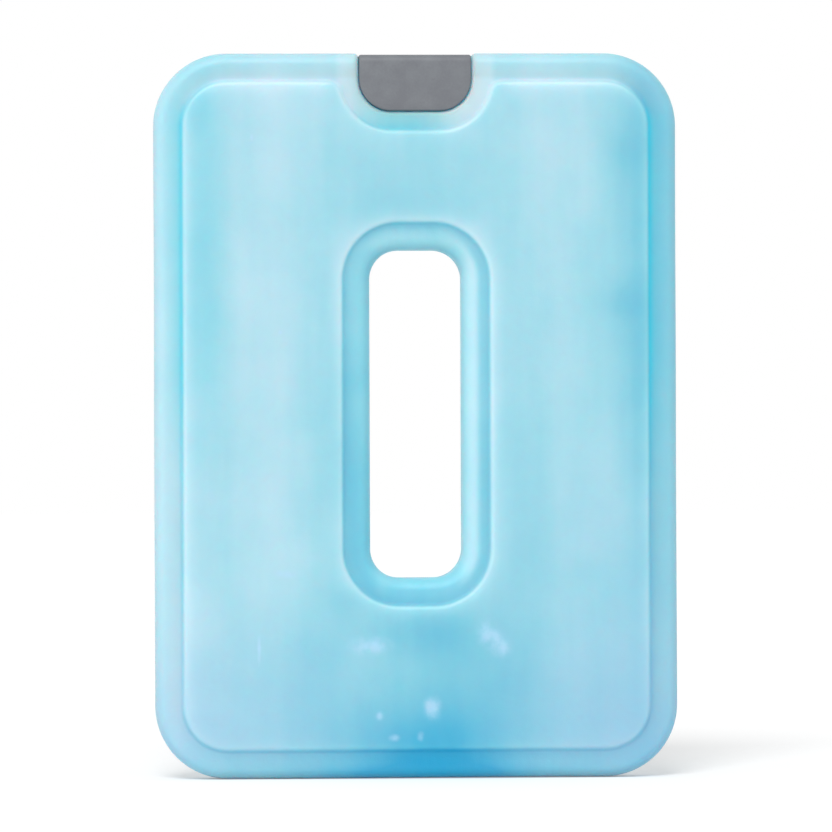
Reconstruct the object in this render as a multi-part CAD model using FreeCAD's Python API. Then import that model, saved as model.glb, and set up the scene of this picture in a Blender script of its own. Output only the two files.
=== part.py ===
"""Reusable ice pack, standing on its short edge.

A flat blow-moulded bottle holds the coolant and is sealed for life, so it is one solid with what is in it.
Each face has a raised panel inside a lower rim. The panel steps down again round the hand opening and round
the filler cap, and the cap is a saddle over the filler neck in the middle of the top edge.

Millimetres. X is across the pack, Y is through its thickness with the front at -Y, and Z is up.
The origin is the middle of the bottom edge.
"""

import FreeCAD
import Part

import os

from FreeCAD import Vector

# Body outline, seen from the front
body_width = 179.0
body_height = 248.0
corner_radius = 25.0

# Body section
rim_thickness = 15.4
edge_radius = 4.0
panel_rise = 1.3
panel_inset = 9.3
step_run = 1.5

# Hand opening and the land round it
opening_width = 31.5
opening_height = 112.0
opening_radius = 10.0
opening_centre_height = 124.5
opening_edge_radius = 4.5
opening_land = 8.9

# Filler cap, a saddle with one flap on each face and a plug in the neck
cap_width = 38.3
cap_height = 19.2
cap_corner_radius = 10.9
cap_below_top = 0.7
cap_proud = 0.3
cap_flap = 3.0
cap_bridge = 3.0
cap_top_radius = 2.5
cap_edge_chamfer = 0.5
cap_clearance = 0.2
plug_diameter = 5.0
plug_length = 8.0
plug_clearance = 0.05
plug_chamfer = 0.6

# Pocket for the cap, and the land round it
pocket_edge_chamfer = 1.2
cap_land = 5.9
shoulder_radius = 3.5

# Sizes that follow from the ones above
front_rim = -rim_thickness / 2
front_panel = front_rim - panel_rise
front_cap = front_rim - cap_proud
neck_thickness = rim_thickness + 2 * (cap_proud - cap_flap - cap_clearance)
cap_top = body_height - cap_below_top
cap_bottom = cap_top - cap_height
neck_top = cap_top - cap_bridge

# How far a cutter runs past what it cuts
overrun = 5.0

# Places along an edge that are tested against a guide, and how near the guide they have to be
probe_places = (0.0, 0.3, 0.7, 1.0)
touching = 1e-4


def closed_wire(pieces):
    """One closed wire from lines, given by two points, and arcs, given by three."""
    edges = []
    for points in pieces:
        if len(points) == 2:
            edges.append(Part.LineSegment(*points).toShape())
        else:
            edges.append(Part.Arc(*points).toShape())
    return Part.Wire(edges)


def arc_points(centre, start, end):
    """Start, middle and end of the short arc round centre."""
    middle = (start - centre) + (end - centre)
    middle.normalize()
    return start, centre + middle * (start - centre).Length, end


def rounded_rectangle(half_width, bottom, top, radius, y):
    """Upright rectangle with round corners, in the plane at y."""
    pieces = []
    corners = [(1, bottom, 1), (1, top, -1), (-1, top, -1), (-1, bottom, 1)]
    starts = []
    for side, level, up in corners:
        centre = Vector(side * (half_width - radius), y, level + up * radius)
        beside = centre + Vector(side * radius, 0, 0)
        under = centre - Vector(0, 0, up * radius)
        first, last = (under, beside) if side * up > 0 else (beside, under)
        starts.append(arc_points(centre, first, last))
    for index, arc in enumerate(starts):
        pieces.append(arc)
        pieces.append((arc[2], starts[(index + 1) % len(starts)][0]))
    return closed_wire(pieces)


def body_outline(y):
    return rounded_rectangle(body_width / 2, 0, body_height, corner_radius, y)


def opening_outline(y, margin=0.0):
    """The hand opening's wall, or a line that runs outside it by margin."""
    half_height = opening_height / 2 + margin
    return rounded_rectangle(
        opening_width / 2 + margin,
        opening_centre_height - half_height,
        opening_centre_height + half_height,
        opening_radius + margin,
        y,
    )


def panel_outline(inset, cap_margin, y):
    """Edge of the raised panel: the body's outline moved in by inset, with a bay that clears the cap by
    cap_margin. A round shoulder joins the bay to the panel's top edge on each side."""
    half_width = body_width / 2 - inset
    radius = corner_radius - inset
    top = body_height - inset
    bay_radius = cap_corner_radius + cap_margin
    bay_bottom = cap_bottom - cap_margin
    shoulder = shoulder_radius + panel_inset + step_run - inset
    bay = Vector(cap_width / 2 + cap_margin - bay_radius, y, bay_bottom + bay_radius)
    shoulder_z = top - shoulder
    reach = bay_radius + shoulder
    shoulder_x = bay.x + (reach**2 - (shoulder_z - bay.z) ** 2) ** 0.5
    centre = Vector(shoulder_x, y, shoulder_z)
    crown = centre + Vector(0, 0, shoulder)
    meeting = bay + (centre - bay) * (bay_radius / reach)
    floor_end = bay - Vector(0, 0, bay_radius)

    upper = Vector(half_width - radius, y, top - radius)
    lower = Vector(half_width - radius, y, inset + radius)
    right = [
        arc_points(lower, lower - Vector(0, 0, radius), lower + Vector(radius, 0, 0)),
        (lower + Vector(radius, 0, 0), upper + Vector(radius, 0, 0)),
        arc_points(upper, upper + Vector(radius, 0, 0), upper + Vector(0, 0, radius)),
        (upper + Vector(0, 0, radius), crown),
        arc_points(centre, crown, meeting),
        arc_points(bay, meeting, floor_end),
    ]
    left = [tuple(Vector(-p.x, p.y, p.z) for p in reversed(piece)) for piece in reversed(right)]
    across_bay = (floor_end, Vector(-floor_end.x, y, floor_end.z))
    across_bottom = (left[-1][-1], right[0][0])
    return closed_wire(right + [across_bay] + left + [across_bottom])


def cap_outline(y, margin=0.0, top=cap_top):
    """The cap's flap: flat across the top, with two large round corners below."""
    half_width = cap_width / 2 + margin
    radius = cap_corner_radius + margin
    bottom = cap_bottom - margin
    centre = Vector(half_width - radius, y, bottom + radius)
    right = [
        arc_points(centre, centre - Vector(0, 0, radius), centre + Vector(radius, 0, 0)),
        (centre + Vector(radius, 0, 0), Vector(half_width, y, top)),
    ]
    left = [tuple(Vector(-p.x, p.y, p.z) for p in reversed(piece)) for piece in reversed(right)]
    across_top = (right[-1][-1], left[0][0])
    across_bottom = (left[-1][-1], right[0][0])
    return closed_wire(right + [across_top] + left + [across_bottom])


def through(outline, depth):
    """The solid that an outline sweeps as it moves through the pack by depth."""
    return Part.Face(outline).extrude(Vector(0, depth, 0))


def tapered(low, high):
    """The solid between two outlines of the same form."""
    return Part.makeLoft([low, high], True, True)


def edges_on(shape, *guides):
    """The edges of shape that lie on every guide."""
    found = []
    for edge in shape.Edges:
        first, last = edge.ParameterRange
        probes = [Part.Vertex(edge.valueAt(first + place * (last - first))) for place in probe_places]
        if all(guide.distToShape(probe)[0] < touching for guide in guides for probe in probes):
            found.append(edge)
    return found


def both_faces(*shapes):
    """Shapes on the front of the pack, and their mirror images on its back."""
    mirrored = [shape.mirror(Vector(0, 0, 0), Vector(0, 1, 0)) for shape in shapes]
    return Part.makeCompound(list(shapes) + mirrored)


def panel():
    """The front's raised panel, with the land round the hand opening left out of it."""
    outside = tapered(
        panel_outline(panel_inset, cap_clearance + cap_land, front_rim),
        panel_outline(panel_inset + step_run, cap_clearance + cap_land + step_run, front_panel),
    )
    inside = tapered(
        opening_outline(front_rim, opening_land),
        opening_outline(front_panel, opening_land + step_run),
    )
    return outside.cut(inside)


def rim_slab():
    """The body at the height of its rim, rounded along its outline and where the hand goes through."""
    slab = through(body_outline(front_rim), rim_thickness)
    slab = slab.makeFillet(edge_radius, edges_on(slab, both_faces(body_outline(front_rim))))
    slab = slab.cut(through(opening_outline(front_rim), rim_thickness))
    return slab.makeFillet(opening_edge_radius, edges_on(slab, both_faces(opening_outline(front_rim))))


def with_filler_neck(body):
    """Cuts the cap's pocket into both faces. The filler neck stays between them, lower than the body's top,
    with its bore in the middle."""
    start = front_rim - overrun
    above = body_height + overrun
    half_width = cap_width / 2 + cap_clearance
    pocket = through(cap_outline(start, cap_clearance, above), -neck_thickness / 2 - start)
    gap = Part.makeBox(2 * half_width, -2 * start, above - neck_top, Vector(-half_width, start, neck_top))
    room = gap.fuse(both_faces(pocket)).removeSplitter()
    cut = body.cut(room).removeSplitter()
    rim = edges_on(cut, Part.makeCompound(room.Shells), Part.makeCompound(body.Shells))
    cut = cut.makeChamfer(pocket_edge_chamfer, rim)
    bore = Part.makeCylinder(
        plug_diameter / 2 + plug_clearance,
        plug_length + plug_chamfer,
        Vector(0, 0, neck_top - plug_length - plug_chamfer),
    )
    return cut.cut(bore)


def pack_body():
    """The sealed bottle and the coolant in it."""
    body = rim_slab().fuse(both_faces(panel())).removeSplitter()
    return with_filler_neck(body)


def along_top(edge):
    """True for an edge that runs along X in the plane of the cap's top."""
    box = edge.BoundBox
    return box.ZMin > cap_top - touching and box.XLength > cap_width


def filler_cap():
    """The cap: two flaps and the bridge between them, moulded in one with the plug that seals the neck."""
    side = cap_width / 2 + overrun
    below = cap_bottom - overrun
    start = front_cap - overrun
    bar = Part.makeBox(2 * side, -2 * front_cap, cap_top - below, Vector(-side, front_cap, below))
    bar = bar.makeFillet(cap_top_radius, [edge for edge in bar.Edges if along_top(edge)])
    flaps = through(cap_outline(start, 0, cap_top + overrun), -2 * start)
    cap = bar.common(flaps)
    skins = Part.makeCompound(bar.Shells), Part.makeCompound(flaps.Shells)
    cap = cap.makeChamfer(cap_edge_chamfer, edges_on(cap, *skins))
    slot_front = -neck_thickness / 2 - cap_clearance
    cap = cap.cut(Part.makeBox(2 * side, -2 * slot_front, neck_top - below, Vector(-side, slot_front, below)))
    plug_foot = neck_top - plug_length
    plug = Part.makeCylinder(plug_diameter / 2, cap_top - plug_foot, Vector(0, 0, plug_foot))
    tip = [edge for edge in plug.Edges if edge.BoundBox.ZMax < plug_foot + touching]
    return cap.fuse(plug.makeChamfer(plug_chamfer, tip)).removeSplitter()


def main():
    os.makedirs("parts", exist_ok=True)
    for name, make in (("pack_body", pack_body), ("filler_cap", filler_cap)):
        shape = make()
        print(name, "valid", shape.isValid(), "solids", len(shape.Solids), "faces", len(shape.Faces))
        shape.exportStep("parts/" + name + ".step")


main()
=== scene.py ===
"""Looks of the reusable ice pack: a frosted bottle and its grey filler cap, on a white studio floor."""

from math import acos, atan2, ceil, copysign, cos, e, exp, hypot, pi, radians, sin, sqrt, tan

import bmesh
import bpy
from mathutils import Matrix, Vector, kdtree, noise
from mathutils.geometry import delaunay_2d_cdt


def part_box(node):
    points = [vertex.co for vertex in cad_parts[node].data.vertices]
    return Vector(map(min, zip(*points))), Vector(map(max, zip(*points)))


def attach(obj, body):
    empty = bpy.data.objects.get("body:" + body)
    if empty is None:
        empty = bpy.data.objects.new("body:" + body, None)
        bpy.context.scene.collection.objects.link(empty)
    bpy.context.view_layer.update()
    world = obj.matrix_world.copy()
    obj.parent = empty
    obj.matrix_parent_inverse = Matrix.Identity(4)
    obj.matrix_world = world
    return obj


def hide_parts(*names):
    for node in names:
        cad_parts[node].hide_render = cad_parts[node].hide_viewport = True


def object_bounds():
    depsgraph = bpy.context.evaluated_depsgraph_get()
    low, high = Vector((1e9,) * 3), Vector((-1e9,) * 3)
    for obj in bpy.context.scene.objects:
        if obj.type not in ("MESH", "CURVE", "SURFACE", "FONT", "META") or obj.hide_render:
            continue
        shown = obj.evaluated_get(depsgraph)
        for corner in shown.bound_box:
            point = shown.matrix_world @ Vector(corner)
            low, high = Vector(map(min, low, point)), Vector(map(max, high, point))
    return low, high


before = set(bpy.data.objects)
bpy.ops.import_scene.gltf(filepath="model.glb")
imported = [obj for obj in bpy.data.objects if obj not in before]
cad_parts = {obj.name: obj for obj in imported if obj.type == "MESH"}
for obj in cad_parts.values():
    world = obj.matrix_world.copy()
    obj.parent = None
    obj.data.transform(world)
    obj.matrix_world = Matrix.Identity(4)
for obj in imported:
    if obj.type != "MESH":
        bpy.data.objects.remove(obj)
cad_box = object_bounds()


# Camera
# Level with the middle of the pack and a little to its left, far enough off to flatten it as a long lens
# does. It is aimed so that the pack fills the picture as it does in the photograph.

picture_pixels = 832
pack_width_in_picture = 522.5
pack_middle_in_picture = (415.2, 415.5)
camera_distance = 2.2
camera_azimuth = radians(-3.0)
camera_roll = radians(0.2)

pack_low, pack_high = cad_box
pixel = (pack_high.x - pack_low.x) / pack_width_in_picture
forward = Vector((-sin(camera_azimuth), cos(camera_azimuth), 0))
rightward = Vector((cos(camera_azimuth), sin(camera_azimuth), 0))
aim_right, aim_down = [(picture_pixels / 2 - place) * pixel for place in pack_middle_in_picture]
aim = (pack_low + pack_high) / 2 + rightward * aim_right - Vector((0, 0, aim_down))

lens = bpy.data.cameras.new("camera")
lens.lens = lens.sensor_width * camera_distance / (picture_pixels * pixel)
camera = bpy.data.objects.new("camera", lens)
upright = forward.to_track_quat("-Z", "Y").to_matrix().to_4x4()
camera.matrix_world = (
    Matrix.Translation(aim - forward * camera_distance) @ upright @ Matrix.Rotation(-camera_roll, 4, "Z")
)
bpy.context.scene.collection.objects.link(camera)
bpy.context.scene.camera = camera
bpy.context.scene.view_settings.view_transform = "Standard"


# Bottle
# The pack itself: a blow-moulded polyethylene bottle, filled with a pale blue coolant and sealed for life.
# Its wall is one frosted skin, with a raised panel on each face and lower land round the hand opening and
# the cap. Sizes are in millimetres, as on the mould's drawing, and the mesh is made in metres.

mm = 0.001
bottle_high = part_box("pack_body")[1] / mm
cap_low, cap_high = [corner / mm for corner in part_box("filler_cap")]
half_width = bottle_high.x
bottle_top = bottle_high.z
corner_radius = 25.0
edge_radius = 4.0

panel_rise = 1.3
panel_inset = 9.3
step_run = 1.5
step_slope = radians(45.0)
step_foot_radius = 1.2
step_crest_radius = 2.2
rim_half = bottle_high.y - panel_rise

opening_half_width = 15.75
opening_half_height = 56.0
opening_middle = 124.5
opening_radius = 10.0
opening_edge_radius = 4.5
opening_land = 8.9

cap_clearance = 0.2
cap_corner_radius = 10.9
cap_bridge = 3.0
cap_land = 5.9
shoulder_radius = 3.5
pocket_half_width = cap_high.x + cap_clearance
pocket_bottom = cap_low.z - cap_clearance
pocket_radius = cap_corner_radius + cap_clearance
pocket_edge_radius = 1.5
neck_half = 4.8
neck_top = cap_high.z - cap_bridge
bore_radius = 2.55
bore_depth = 8.6

point_spacing = 1.5
arc_step = radians(4.0)
flat_spacing = 3.0
flat_margin = 1.3
edge_steps = 8
small_edge_steps = 4
foot_steps = 3
crest_steps = 5
bore_sides = 32
near_nothing = 1e-3


def outline(x, z, heading, moves):
    """Points along a path, each with its outward direction, which is to the right of the path. A move is
    (length,) for a straight run or (radius, turn) for an arc, with a turn to the left positive."""
    points = []
    for move in moves:
        if len(move) == 1:
            (length,) = move
            steps = max(1, ceil(length / point_spacing))
            for step in range(steps):
                along = length * step / steps
                reach_x, reach_z = along * cos(heading), along * sin(heading)
                points.append((x + reach_x, z + reach_z, sin(heading), -cos(heading)))
            x += length * cos(heading)
            z += length * sin(heading)
            continue
        radius, turn = move
        side = copysign(radius, turn)
        middle_x = x - side * sin(heading)
        middle_z = z + side * cos(heading)
        steps = max(ceil(abs(turn) / arc_step), ceil(radius * abs(turn) / point_spacing))
        for step in range(steps):
            now = heading + turn * step / steps
            points.append((middle_x + side * sin(now), middle_z - side * cos(now), sin(now), -cos(now)))
        heading += turn
        x = middle_x + side * sin(heading)
        z = middle_z - side * cos(heading)
    points.append((x, z, sin(heading), -cos(heading)))
    return points


def rounded_rectangle(half_across, low, high, radius):
    """A closed outline that starts at the middle of its bottom edge and runs anticlockwise."""
    quarter = (radius, pi / 2)
    across = half_across - radius
    up = high - low - 2 * radius
    moves = [(across,), quarter, (up,), quarter, (2 * across,), quarter, (up,), quarter, (across,)]
    return outline(0, low, 0, moves)[:-1]


def panel_outline():
    """The foot of the raised panel, with its bay round the cap and a round shoulder on each side."""
    across = half_width - panel_inset
    top = bottle_top - panel_inset
    radius = corner_radius - panel_inset
    bay_radius = pocket_radius + cap_land
    bay_x = cap_high.x - cap_corner_radius
    shoulder = shoulder_radius + step_run
    rise = top - shoulder - cap_low.z - cap_corner_radius
    turn = acos(-rise / (bay_radius + shoulder))
    shoulder_x = bay_x + (bay_radius + shoulder) * sin(turn)
    corner = (radius, pi / 2)
    upright = top - panel_inset - 2 * radius
    top_run = across - radius - shoulder_x
    bay = [(shoulder, turn), (bay_radius, -turn), (2 * bay_x,), (bay_radius, -turn), (shoulder, turn)]
    half = [(across - radius,), corner, (upright,), corner, (top_run,)]
    return outline(0, panel_inset, 0, half + bay + half[::-1])[:-1]


def pocket_outline():
    """The cap's pocket, from above the bottle down its left side and up its right one."""
    over = bottle_top - neck_top + edge_radius
    down = neck_top - pocket_bottom - pocket_radius
    corner = (pocket_radius, pi / 2)
    across = 2 * (pocket_half_width - pocket_radius)
    moves = [(over,), (down,), corner, (across,), corner, (down,), (over,)]
    return outline(-pocket_half_width, neck_top + over, -pi / 2, moves)


def beside(points, distance):
    """The same points moved outward by a distance."""
    return [(x + distance * out_x, z + distance * out_z) for x, z, out_x, out_z in points]


def outside_rectangle(x, z, half_across, low, high, radius):
    """How far a place lies outside a rounded rectangle, negative inside it."""
    right = abs(x) - half_across + radius
    up = abs(z - (low + high) / 2) - (high - low) / 2 + radius
    return hypot(max(right, 0), max(up, 0)) + min(max(right, up), 0) - radius


def inside_bottle(x, z):
    return -outside_rectangle(x, z, half_width, 0, bottle_top, corner_radius)


def outside_opening(x, z):
    low = opening_middle - opening_half_height
    high = opening_middle + opening_half_height
    return outside_rectangle(x, z, opening_half_width, low, high, opening_radius)


def outside_pocket(x, z):
    """The pocket runs out through the bottle's top, so it is measured as if it went on above."""
    return outside_rectangle(x, z, pocket_half_width, pocket_bottom, 2 * bottle_top, pocket_radius)


def rounding(distance, radius):
    """How far a rounded edge has fallen back at a distance inside it."""
    short = max(radius - max(distance, 0), 0)
    return radius - sqrt(radius**2 - short**2)


def rounding_offsets(radius, steps):
    """Distances inside a rounded edge at which its surface has turned by equal angles."""
    return [radius * (1 - cos(pi / 2 * step / steps)) for step in range(steps + 1)]


def step_profile():
    """The panel's step, as distances past its foot line and heights: a hollow foot, a slope and a crest."""
    turned = (step_foot_radius + step_crest_radius) * (1 - cos(step_slope))
    curved = (step_foot_radius + step_crest_radius) * sin(step_slope)
    run = curved + (panel_rise - turned) / tan(step_slope)
    start = (step_run - run) / 2
    foot = [step_slope * step / foot_steps for step in range(foot_steps + 1)]
    crest = [step_slope * step / crest_steps for step in range(crest_steps, -1, -1)]
    pairs = [(start + step_foot_radius * sin(a), step_foot_radius * (1 - cos(a))) for a in foot]
    for a in crest:
        past = start + run - step_crest_radius * sin(a)
        pairs.append((past, panel_rise - step_crest_radius * (1 - cos(a))))
    return pairs


def past_step(x, z):
    """How far a place lies past the foot of the step, onto the panel."""
    radius = shoulder_radius + step_run
    below_rim = inside_bottle(x, z) - panel_inset - radius
    below_cap = outside_pocket(x, z) - cap_land - radius
    past_rim = radius + max(min(below_rim, below_cap), 0) - hypot(min(below_rim, 0), min(below_cap, 0))
    return min(past_rim, outside_opening(x, z) - opening_land)


class Layout:
    """A surface laid out flat: points with their rise, and lines that its triangles keep to."""

    def __init__(self):
        self.points = []
        self.rises = []
        self.lines = []

    def ring(self, places, rise=0.0, closed=True):
        first = len(self.points)
        self.points += places
        self.rises += [rise] * len(places)
        self.lines += [(first + i, first + i + 1) for i in range(len(places) - 1)]
        if closed:
            self.lines.append((len(self.points) - 1, first))

    def fill(self, across, low, high, spacing, rise_at):
        """Adds a grid of points, clear of every ring."""
        tree = kdtree.KDTree(len(self.points))
        for index, (x, z) in enumerate(self.points):
            tree.insert((x, z, 0), index)
        tree.balance()
        columns = int(across / spacing)
        for row in range(1, ceil((high - low) / spacing)):
            for column in range(-columns, columns + 1):
                x = column * spacing
                z = low + row * spacing
                if tree.find((x, z, 0))[2] > flat_margin:
                    self.points.append((x, z))
                    self.rises.append(rise_at(x, z))

    def triangles(self, wanted):
        """The points, each with its rise, and the triangles whose middles are wanted."""
        places, _, faces, sources, _, _ = delaunay_2d_cdt(
            [Vector(point) for point in self.points], self.lines, [], 0, near_nothing
        )
        flat = [(*place, self.rises[found[0]] if found else 0.0) for place, found in zip(places, sources)]
        middles = [sum((places[i] for i in face), Vector((0, 0))) / len(face) for face in faces]
        return flat, [tuple(face) for face, middle in zip(faces, middles) if wanted(*middle)]


def corners_of(triangles):
    return sorted({i for face in triangles for i in face})


def border(triangles):
    """The edges that belong to one triangle only, as pairs of points in that triangle's order."""
    edges = {(face[i - 1], face[i]) for face in triangles for i in range(len(face))}
    return [edge for edge in sorted(edges) if edge[::-1] not in edges]


# Where a wall's rows of points lie between its faces, as shares of its half thickness
wall_shares = (0.738, 0.3, 0.06, 0.0, -0.06, -0.3, -0.738)
parting_ridge = 0.12
wall_draft = 0.15
draft_reach = 6.0
face_wave = 0.12
outline_wave = 0.25
wave_length = 70.0
sharp_angle = radians(40.0)


def is_bottle(x, z):
    return min(inside_bottle(x, z), outside_opening(x, z), outside_pocket(x, z)) > near_nothing


def front_place(x, z, rise):
    """Where a flat place lies on the front. The pocket's edge falls back square to the surface it cuts."""
    inside = inside_bottle(x, z)
    half = rim_half + rise - rounding(inside, edge_radius)
    half -= rounding(outside_opening(x, z), opening_edge_radius)
    fall = rounding(outside_pocket(x, z), pocket_edge_radius)
    up = min(max(1 - inside / edge_radius, 0), 1)
    return Vector((x, fall * sqrt(1 - up**2) - half, z - fall * up))


def inward(x, z):
    """The direction into the bottle's wall, seen from the front."""
    def depth(x, z):
        return min(inside_bottle(x, z), outside_opening(x, z))
    reach = near_nothing
    across = depth(x + reach, z) - depth(x - reach, z)
    up = depth(x, z + reach) - depth(x, z - reach)
    return Vector((across, 0, up)).normalized()


def settled(place):
    """A moulded face is never quite flat, and a wall leans in from the parting line to leave the mould."""
    x, y, z = place
    wave = (1 + noise.noise(place / wave_length)) / 2
    edge = max(0, 1 - max(inside_bottle(x, z), 0) / draft_reach)
    lean = wall_draft * min(abs(y) / rim_half, 1) + outline_wave * wave
    flattened = Vector((x, y * (1 - face_wave * wave / rim_half), z))
    return flattened + inward(x, z) * lean * edge if edge else flattened


def turned(mesh, profile):
    """A round wall through rings, each a radius and a height, closed at the last. Gives the first's edges."""
    rings = []
    for radius, height in profile:
        turns = [2 * pi * side / bore_sides for side in range(bore_sides)]
        rings.append([mesh.verts.new((radius * cos(turn), radius * sin(turn), height)) for turn in turns])
    for above, below in zip(rings, rings[1:]):
        for side in range(bore_sides):
            mesh.faces.new((above[side - 1], above[side], below[side], below[side - 1]))
    mesh.faces.new(rings[-1])
    return [mesh.edges.get((rings[0][side - 1], rings[0][side])) for side in range(bore_sides)]


def flat_face(mesh, corners):
    """One flat face through corners that lie round its middle in any order."""
    middle = sum((corner.co for corner in corners), Vector()) / len(corners)
    mesh.faces.new(sorted(corners, key=lambda corner: atan2(corner.co.z - middle.z, corner.co.x - middle.x)))


def finished_piece(name, mesh):
    """The mesh in metres, as an object in the scene, smooth but for its corners."""
    bmesh.ops.recalc_face_normals(mesh, faces=mesh.faces)
    bmesh.ops.scale(mesh, vec=(mm, mm, mm), verts=mesh.verts)
    data = bpy.data.meshes.new(name)
    mesh.to_mesh(data)
    mesh.free()
    data.shade_smooth()
    data.set_sharp_from_angle(angle=sharp_angle)
    piece = bpy.data.objects.new(name, data)
    bpy.context.scene.collection.objects.link(piece)
    return piece


def bottle_mesh():
    """Both faces, the walls round the outline and the hand opening, and the neck in the cap's pocket."""
    low = opening_middle - opening_half_height
    high = opening_middle + opening_half_height
    body = rounded_rectangle(half_width, 0, bottle_top, corner_radius)
    opening = rounded_rectangle(opening_half_width, low, high, opening_radius)
    layout = Layout()
    for offset in rounding_offsets(edge_radius, edge_steps):
        layout.ring(beside(body, -offset))
    for offset in rounding_offsets(opening_edge_radius, edge_steps):
        layout.ring(beside(opening, offset))
    for offset in rounding_offsets(pocket_edge_radius, small_edge_steps):
        layout.ring(beside(pocket_outline(), offset), closed=False)
    for past, rise in step_profile():
        layout.ring(beside(panel_outline(), -past), rise)
        layout.ring(beside(opening, opening_land + past), rise)
    layout.fill(half_width, 0, bottle_top, flat_spacing, lambda x, z: panel_rise * (past_step(x, z) > 0))
    flat, triangles = layout.triangles(is_bottle)

    mesh = bmesh.new()
    front = {i: mesh.verts.new(front_place(*flat[i])) for i in corners_of(triangles)}
    back = {i: mesh.verts.new((vert.co.x, -vert.co.y, vert.co.z)) for i, vert in front.items()}
    for face in triangles:
        mesh.faces.new([front[i] for i in face])
        mesh.faces.new([back[i] for i in reversed(face)])

    rows = {}
    feet = {}
    for edge in border(triangles):
        in_pocket = all(outside_pocket(*flat[i][:2]) < near_nothing for i in edge)
        below_neck = all(flat[i][1] < neck_top + near_nothing for i in edge)
        for i in edge:
            at_neck = abs(flat[i][1] - neck_top) < near_nothing
            if i not in rows and (not in_pocket or not below_neck or at_neck):
                x, y, z = front[i].co
                set_in = inward(x, z) * parting_ridge
                between = [Vector((x, y * share, z)) + set_in * (share != 0) for share in wall_shares]
                rows[i] = [front[i], *[mesh.verts.new(place) for place in between], back[i]]
            if i not in feet and in_pocket and below_neck:
                x, z, _ = flat[i]
                feet[i] = (rows[i][1], rows[i][-2]) if at_neck else [
                    mesh.verts.new((x, side * neck_half, z)) for side in (-1, 1)
                ]
        a, b = edge
        if in_pocket and below_neck:
            mesh.faces.new((front[a], front[b], feet[b][0], feet[a][0]))
            mesh.faces.new((back[b], back[a], feet[a][1], feet[b][1]))
        else:
            for k in range(len(wall_shares) + 1):
                mesh.faces.new((rows[a][k], rows[b][k], rows[b][k + 1], rows[a][k + 1]))
    for side in (0, 1):
        flat_face(mesh, [foot[side] for foot in feet.values()])
    neck_ends = [rows[i][1:-1] for i in feet if i in rows]
    rim = [mesh.edges.get(pair) for end in neck_ends for pair in zip(end, end[1:])]
    rim += [mesh.edges.get([end[place] for end in neck_ends]) for place in (0, -1)]
    bore = turned(mesh, [(bore_radius, neck_top), (bore_radius, neck_top - bore_depth)])
    bmesh.ops.triangle_fill(mesh, use_beauty=True, edges=rim + bore)
    for vert in mesh.verts:
        vert.co = settled(vert.co)
    return mesh


bottle = finished_piece("bottle", bottle_mesh())

pale_frost = (194, 221, 231)
ice_blue = (158, 211, 223)
clear_blue = (128, 199, 216)
deep_blue = (73, 179, 210)
deepest_blue = (0, 162, 204)
bright_cyan = (60, 213, 228)
shade_blue = (140, 186, 216)
white_frost = (182, 217, 236)
grey_rim_blue = (172, 196, 199)


def paint(red, green, blue):
    """A colour as a screen shows it, from 0 to 255, in the linear values that a shader takes."""
    shares = [channel / 255 for channel in (red, green, blue)]
    return (*[s / 12.92 if s <= 0.04045 else ((s + 0.055) / 1.055) ** 2.4 for s in shares], 1)


class Signal:
    """A socket in a material. Arithmetic on it adds Math nodes, and node() adds any other node."""

    def __init__(self, tree, socket=None):
        self.tree = tree
        self.socket = socket

    def node(self, kind, settings, inputs, output=0):
        """A new node: its settings or its ramp's stops first, then the values and links of its sockets."""
        made = self.tree.nodes.new("ShaderNode" + kind)
        stops = settings.pop("stops", [])
        for name, value in settings.items():
            setattr(made, name, value)
        for index, (place, colour) in enumerate(stops):
            elements = made.color_ramp.elements
            stop = elements[index] if index < len(elements) else elements.new(place)
            stop.position = place
            stop.color = colour
        for name, value in inputs.items():
            if isinstance(value, Signal):
                self.tree.links.new(value.socket, made.inputs[name])
            else:
                made.inputs[name].default_value = value
        return Signal(self.tree, made.outputs[output])

    def math(self, operation, *values):
        return self.node("Math", {"operation": operation}, dict(enumerate(values)))

    def __add__(self, other):
        return self.math("ADD", self, other)

    def __sub__(self, other):
        return self.math("SUBTRACT", self, other)

    def __rsub__(self, other):
        return self.math("SUBTRACT", other, self)

    def __mul__(self, other):
        return self.math("MULTIPLY", self, other)

    def __truediv__(self, other):
        return self.math("DIVIDE", self, other)

    __radd__ = __add__
    __rmul__ = __mul__

    def bell(self, middle, width):
        """1 in the middle, and less on both sides."""
        past = (self - middle) / width
        return self.math("POWER", 1 / e, past * past)

    def rise(self, low, high):
        """0 at low and 1 at high, with a smooth slope between. It falls where high is the lower."""
        ends = {"Value": self, "From Min": low, "From Max": high}
        return self.node("MapRange", {"interpolation_type": "SMOOTHSTEP"}, ends)

    def fade(self, length):
        """1 up to 0, and less past it."""
        return self.math("POWER", 1 / e, self.math("MAXIMUM", self, 0.0) / length)

    def noise(self, grain, detail=2.0):
        """Cloudy noise about 0, on this vector in metres, with grains about that many millimetres across."""
        settings = {"Vector": self, "Scale": 1 / (grain * mm), "Detail": detail}
        return self.node("TexNoise", {}, settings) - 0.5

    def mixed(self, other, share):
        """This colour, with a share of another mixed in."""
        return self.node("Mix", {"data_type": "RGBA"}, {0: share, 6: self, 7: other}, output=2)


def new_material(name, piece, constants):
    """A material on a piece, with its shader's even values, and the signal that its nodes start from."""
    material = bpy.data.materials.new(name)
    material.use_nodes = True
    piece.data.materials.append(material)
    shader = material.node_tree.nodes["Principled BSDF"]
    for socket, value in constants.items():
        shader.inputs[socket].default_value = value
    return shader, Signal(material.node_tree)


def keep(piece, name, value_at):
    """Keeps a value for each point of a piece, worked out in millimetres, for its material to read."""
    values = [value_at(*(vert.co / mm)) for vert in piece.data.vertices]
    piece.data.attributes.new(name, "FLOAT", "POINT").data.foreach_set("value", values)


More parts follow.
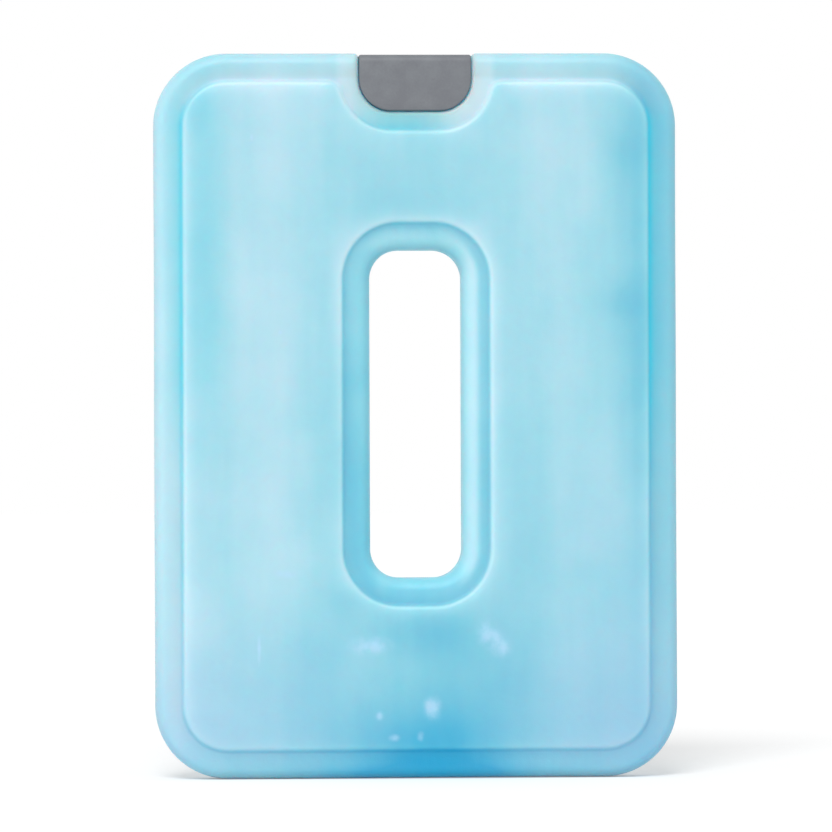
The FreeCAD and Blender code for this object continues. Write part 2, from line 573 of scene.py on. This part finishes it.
keep(bottle, "inside", lambda x, y, z: inside_bottle(x, z))
keep(bottle, "past_opening", lambda x, y, z: outside_opening(x, z))
keep(bottle, "past_pocket", lambda x, y, z: outside_pocket(x, z))
keep(bottle, "past_step", lambda x, y, z: past_step(x, z))

# Patches of deeper or paler coolant, and marks of frost: x, z, half-width, half-height and weight
pools = [
    (3, 50, 16, 9, 0.22), (36, 36, 14, 20, 0.12), (38, 88, 14, 32, 0.09), (-40, 34, 18, 24, 0.13),
    (-32, 130, 9, 75, 0.09), (-42, 4, 30, 10, 0.16), (77, 95, 5, 50, 0.13), (-2, 196, 22, 9, 0.09),
    (72, 212, 7, 8, 0.08), (71, 162, 8, 6, 0.1), (-75, 55, 7, 30, -0.09), (84, 35, 5, 22, -0.1),
    (6, 4, 24, 7, 0.22), (56, 70, 7, 4, 0.05), (-80, 233, 8, 9, 0.1), (-16, 62, 14, 5, 0.1),
    (-4, 14, 22, 9, 0.1), (-24, 105, 5, 36, 0.1), (-84, 28, 6, 14, -0.12), (11, 35, 24, 24, 0.14),
]
marks = [
    (-44, 70, 5, 1.6, 0.45), (-16, 45.5, 8, 3.2, 0.5), (24, 50, 4, 4.5, 0.5), (29, 45, 4, 4, 0.45),
    (5, 24, 3, 4, 0.6), (-13, 21.5, 1.4, 1.6, 0.45), (-8, 14, 2, 1.4, 0.4), (1, 14.5, 1.4, 1.8, 0.4),
    (-54, 44, 0.7, 5, 0.6), (-56, 219, 0.7, 1.3, 0.5), (-46.5, 152.5, 0.8, 0.8, 0.5),
]


def clouds(patches, x, z):
    """The sum of soft patches at a place: each has its middle, half-width, half-height and weight."""
    total = 0
    for middle_x, middle_z, across, up, weight in patches:
        total += weight * exp(-((x - middle_x) / across) ** 2 - ((z - middle_z) / up) ** 2)
    return total


keep(bottle, "pool", lambda x, y, z: clouds(pools, x, z))

shader, shell = new_material("frosted_shell", bottle, {
    "Subsurface Weight": 1.0,
    "Subsurface Scale": 0.012,
    "Subsurface Radius": (0.07, 0.8, 1.0),
    "IOR": 1.45,
})
place = shell.node("TexCoord", {}, {}, output="Object")
x, y, z = [shell.node("SeparateXYZ", {}, {"Vector": place}, output=axis) / mm for axis in "XYZ"]
inside, past_opening, past_pocket, past_foot, pool = [
    shell.node("Attribute", {"attribute_name": name}, {}, output="Fac")
    for name in ("inside", "past_opening", "past_pocket", "past_step", "pool")
]
foot = (0 - past_foot).fade(2.2) * past_foot.rise(1.0, 0.1)
crest = (past_foot - 1.6).fade(2.6) * past_foot.rise(0.2, 1.4)
left_rim = x.rise(-76, -82)
right_rim = x.rise(72, 79)
upper = z.rise(90, 150)
top_edge = z.rise(222, 234)
by_rim = past_opening.rise(14, 18)
on_land = past_opening.rise(9, 5)
by_cap = past_pocket.rise(9, 5)
round_bay = past_pocket.rise(14, 9)
on_rim = inside.rise(10, 8)
outer_edge = inside.rise(6, 1)
top_rim = z.rise(236, 242)
streaked = place.node("VectorMath", {"operation": "MULTIPLY"}, {0: place, 1: (1, 1, 0.12)})

# How blue the coolant shows through the skin, from 0 where frost hides it to 1 where it is deepest.
# Besides the coolant's own pools and mottling, the terms below also paint shade and highlight where marked.
mottling = 0.16 * place.noise(60) + 0.14 * place.noise(18) + 0.14 * streaked.noise(9)
# Painted shade in the crease at the step's foot: deeper on the right rim and lighter along the top, as light
# from the upper left falls.
painted_foot_shade = foot * (0.08 - 0.2 * top_edge + 0.1 * right_rim * upper)
# Painted highlight along the step's crest, weaker round the cap's bay.
painted_crest_highlight = crest * (0.102 * round_bay - 0.17)
on_panel = (0.14 * x.bell(75, 9) + 0.06 * x.bell(-74, 7)) * upper
on_panel = on_panel - 0.12 * x.bell(-47, 20) - 0.06 * x.bell(50, 16)
# Painted shade and light on the rim: deeper towards the right and on the right rim, paler at the far left, as
# light from the left falls.
round_rim = (0.1 * x.rise(-20, 85) - 0.14 * x.rise(-60, -85)) * on_rim + (0.05 + 0.09 * upper) * right_rim
round_rim = round_rim + (0.04 - 0.09 * x.rise(20, 30)) * top_rim - 0.06 * outer_edge * z.rise(4, 14)
# By the hole: deeper on its land, a painted highlight on its right edge, which faces the light, and painted
# shade on its lower left land.
round_opening = 0.1 * past_opening.rise(10, 8) - 0.26 * past_opening.rise(7, 4) * x.rise(12, 20)
round_opening = round_opening + 0.14 * on_land * x.rise(-12, -18) * z.rise(130, 75)
round_opening = round_opening - 0.12 * on_land * z.rise(178, 184)
# Painted shadow just below the middle of the cap, and paler to either side of its pocket.
round_cap = by_cap * (0.08 * x.bell(-4, 14) + 0.3 * x.bell(-4, 20) - 0.3)
at_bottom = 0.55 * x.bell(6, 34) * z.rise(42, 0) + 0.4 * x.bell(0, 42) * z.rise(6, 1)
depth = 0.24 + pool + mottling + painted_foot_shade + painted_crest_highlight + on_panel
depth = depth + round_rim + round_opening + round_cap + at_bottom
frost = 0
for middle_x, middle_z, across, up, weight in marks:
    frost = frost + weight * x.bell(middle_x, across) * z.bell(middle_z, up)
frost = (frost * (1 + 2 * place.noise(4, 3))).rise(0.05, 0.65) * y.rise(1, -1) * 0.8

colour = shell.node("ValToRGB", {"stops": [
    (0.03, paint(*pale_frost)),
    (0.235, paint(*ice_blue)),
    (0.41, paint(*clear_blue)),
    (0.735, paint(*deep_blue)),
    (1.0, paint(*deepest_blue)),
]}, {"Fac": depth})
# A cyan tint: painted shade in the step's foot, most on the right and under the cap's bay, plus a band on the
# left rim and one on the left of the panel.
foot_cyan_shade = foot * (0.1 + (0.45 + 0.2 * right_rim) * upper * by_rim) * (1 - top_edge) * (1 - round_bay)
foot_cyan_shade = foot_cyan_shade + 0.35 * foot * round_bay * x.bell(-6, 12)
cyan_share = foot_cyan_shade + 0.2 * left_rim * inside.bell(7, 3) * upper + 0.12 * x.bell(-72, 5) * upper
colour = colour.mixed(paint(*bright_cyan), cyan_share)
# Painted shade: a duller blue over the lower part, the lower right and the rounded outer edge.
dull_shade_share = 0.2 * outer_edge * z.rise(1, 8) + 0.4 * z.rise(70, 10) * (1 - x.bell(6, 34))
dull_shade_share = dull_shade_share + 0.2 * x.rise(10, 80) * z.rise(140, 60)
colour = colour.mixed(paint(*shade_blue), dull_shade_share)
# A greyer blue over the rim band, with more along the top as painted shade that dims the light from above.
rim_grey_and_shade = (0.18 + 0.14 * z.rise(225, 238)) * inside.rise(9.5, 7.5) * z.rise(4, 30)
colour = colour.mixed(paint(*grey_rim_blue), rim_grey_and_shade)
colour = colour.mixed(paint(*white_frost), frost)
grain = place.noise(0.5) * 0.00004 + place.noise(5, 1) * 0.0002
normal = shell.node("Bump", {}, {"Height": grain, "Strength": 1.0, "Distance": 1.0})
roughness = 0.45 + 0.08 * place.noise(8)
for socket, signal in (("Base Color", colour), ("Roughness", roughness), ("Normal", normal)):
    shell.tree.links.new(signal.socket, shader.inputs[socket])

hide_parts("pack_body")
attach(bottle, "root")


# Cap
# The filler cap: a saddle of grey polypropylene, moulded in one with the plug that seals the filler neck. It
# is pressed on after filling, with a flap down each face, and sits in its pocket a hair proud of the rim.

cap_top_radius = 2.5
cap_edge_radius = 0.6
cap_spacing = 1.8
slot_half = neck_half + cap_clearance
plug_radius = 2.5
plug_length = 8.0
plug_chamfer = 0.6
cap_flat_half = cap_high.y - cap_top_radius
cap_bend = pi / 2 * cap_top_radius
cap_half_length = cap_flat_half + cap_bend + cap_high.z - cap_top_radius - cap_low.z


def saddle_place(x, along, fall):
    """Where a place on the flat skin lies once it is bent over the neck, sunk by its fall at the edge."""
    side = copysign(1, along)
    past = abs(along) - cap_flat_half
    turn = min(max(past / cap_top_radius, 0), pi / 2)
    drop = max(past - cap_bend, 0)
    radius = cap_top_radius - fall
    y = min(abs(along), cap_flat_half) + radius * sin(turn)
    return Vector((x, side * y, cap_high.z - cap_top_radius + radius * cos(turn) - drop))


def cap_mesh():
    """The skin outside, the edge round it, the slot that grips the neck, and the plug."""
    def inside_skin(x, along):
        return -outside_rectangle(x, along, cap_high.x, -cap_half_length, cap_half_length, cap_corner_radius)

    layout = Layout()
    skin = rounded_rectangle(cap_high.x, -cap_half_length, cap_half_length, cap_corner_radius)
    for offset in rounding_offsets(cap_edge_radius, small_edge_steps):
        layout.ring(beside(skin, -offset))
    line_half = cap_high.x - cap_edge_radius
    for side in (-1, 1):
        for step in range(edge_steps + 1):
            along = side * (cap_flat_half + cap_bend * step / edge_steps)
            line = outline(-line_half, along, 0, [(2 * line_half,)])
            layout.ring(beside(line, 0), closed=False)
    layout.fill(cap_high.x, -cap_half_length, cap_half_length, cap_spacing, lambda x, along: 0.0)
    flat, triangles = layout.triangles(lambda x, along: inside_skin(x, along) > near_nothing)

    mesh = bmesh.new()
    outer = {}
    for i in corners_of(triangles):
        x, along, _ = flat[i]
        outer[i] = mesh.verts.new(saddle_place(x, along, rounding(inside_skin(x, along), cap_edge_radius)))
    for face in triangles:
        mesh.faces.new([outer[i] for i in face])

    inner = {}

    def slot_place(vert):
        """The slot's corner or wall behind a place on the cap's edge."""
        x, y, z = vert.co
        place = (x, min(max(y, -slot_half), slot_half), min(z, neck_top))
        key = tuple(round(value, 3) for value in place)
        if key not in inner:
            inner[key] = mesh.verts.new(place)
        return inner[key]

    for a, b in border(triangles):
        wall = [outer[a], outer[b], slot_place(outer[b]), slot_place(outer[a])]
        mesh.faces.new(dict.fromkeys(wall))
    for side in (-1, 1):
        flat_face(mesh, [vert for vert in inner.values() if abs(vert.co.y - side * slot_half) < near_nothing])
    roof = [vert for vert in inner.values() if abs(vert.co.z - neck_top) < near_nothing]
    rim = [edge for edge in mesh.edges if all(vert in roof for vert in edge.verts)]
    plug_foot = neck_top - plug_length
    plug = [
        (plug_radius, neck_top),
        (plug_radius, plug_foot + plug_chamfer),
        (plug_radius - plug_chamfer, plug_foot),
    ]
    bmesh.ops.triangle_fill(mesh, use_beauty=True, edges=rim + turned(mesh, plug))
    return mesh


cap = finished_piece("cap", cap_mesh())

cap_grey = (114, 118, 123)
cap_dark_grey = (106, 109, 115)

shader, plastic = new_material("grey_cap", cap, {"IOR": 1.5})
place = plastic.node("TexCoord", {}, {}, output="Object")
cloud = place.noise(6) + place.noise(0.8) * 0.5
colour = plastic.node("ValToRGB", {"stops": [
    (0.3, paint(*cap_grey)),
    (0.7, paint(*cap_dark_grey)),
]}, {"Fac": cloud + 0.5})
grain = place.noise(0.35) * 0.00005
normal = plastic.node("Bump", {}, {"Height": grain, "Strength": 1.0, "Distance": 1.0})
roughness = 0.55 + 0.1 * place.noise(4)
for socket, signal in (("Base Color", colour), ("Roughness", roughness), ("Normal", normal)):
    plastic.tree.links.new(signal.socket, shader.inputs[socket])

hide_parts("filler_cap")
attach(cap, "root")


# Studio
# A white floor that runs on behind the pack, and a white room that fills the shadows. A broad light from high
# in front throws the pack's shadow to the right, and a soft lamp on the left, which casts no shadow, brings
# out its relief. The camera sees floor and room as plain white, with the pack's shadow on the floor.

floor_half = 6.0
floor_white = (0.8, 0.8, 0.8, 1)
floor_lift = 0.22
room_fill = 0.63
key_aim = Vector((0.2, 1.0, -0.92))
key_strength = 1.7
key_angle = radians(22.0)
lamp_place = Vector((-1.3, -0.8, 0.6))
lamp_aim = Vector((0, 0, 0.12))
lamp_width = 1.4
lamp_watts = 3.0


def seen_plainly(signal):
    """1 for what the camera sees, straight or in gloss or glass, and 0 for light that falls on the pack."""
    rays = [signal.node("LightPath", {}, {}, output=ray)
            for ray in ("Is Camera Ray", "Is Glossy Ray", "Is Transmission Ray")]
    return signal.math("MINIMUM", rays[0] + rays[1] + rays[2], 1.0)


floor_mesh = bmesh.new()
bmesh.ops.create_grid(floor_mesh, x_segments=1, y_segments=1, size=floor_half)
floor_data = bpy.data.meshes.new("floor")
floor_mesh.to_mesh(floor_data)
floor_mesh.free()
floor = bpy.data.objects.new("floor", floor_data)
bpy.context.scene.collection.objects.link(floor)

shader, paper = new_material("floor_paper", floor, {"Base Color": floor_white, "Roughness": 1.0})
matt = paper.node("BsdfDiffuse", {}, {"Color": floor_white})
glow = paper.node("Emission", {}, {"Color": (1, 1, 1, 1), "Strength": floor_lift})
lifted = paper.node("AddShader", {}, {0: matt, 1: glow})
surface = paper.node("MixShader", {}, {0: seen_plainly(paper), 1: matt, 2: lifted})
paper.tree.links.new(surface.socket, paper.tree.nodes["Material Output"].inputs["Surface"])
paper.tree.nodes.remove(shader)

world = bpy.data.worlds.new("room")
world.use_nodes = True
room = Signal(world.node_tree)
background = world.node_tree.nodes["Background"]
background.inputs["Color"].default_value = (1, 1, 1, 1)
strength = room_fill + seen_plainly(room) * (1 - room_fill)
world.node_tree.links.new(strength.socket, background.inputs["Strength"])
bpy.context.scene.world = world

key = bpy.data.objects.new("key light", bpy.data.lights.new("key light", "SUN"))
key.data.energy = key_strength
key.data.angle = key_angle
key.matrix_world = key_aim.to_track_quat("-Z", "Y").to_matrix().to_4x4()
bpy.context.scene.collection.objects.link(key)

lamp = bpy.data.objects.new("soft lamp", bpy.data.lights.new("soft lamp", "AREA"))
lamp.data.shape = "DISK"
lamp.data.size = lamp_width
lamp.data.energy = lamp_watts
lamp.data.use_shadow = False
aimed = (lamp_aim - lamp_place).to_track_quat("-Z", "Y").to_matrix().to_4x4()
lamp.matrix_world = Matrix.Translation(lamp_place) @ aimed
bpy.context.scene.collection.objects.link(lamp)
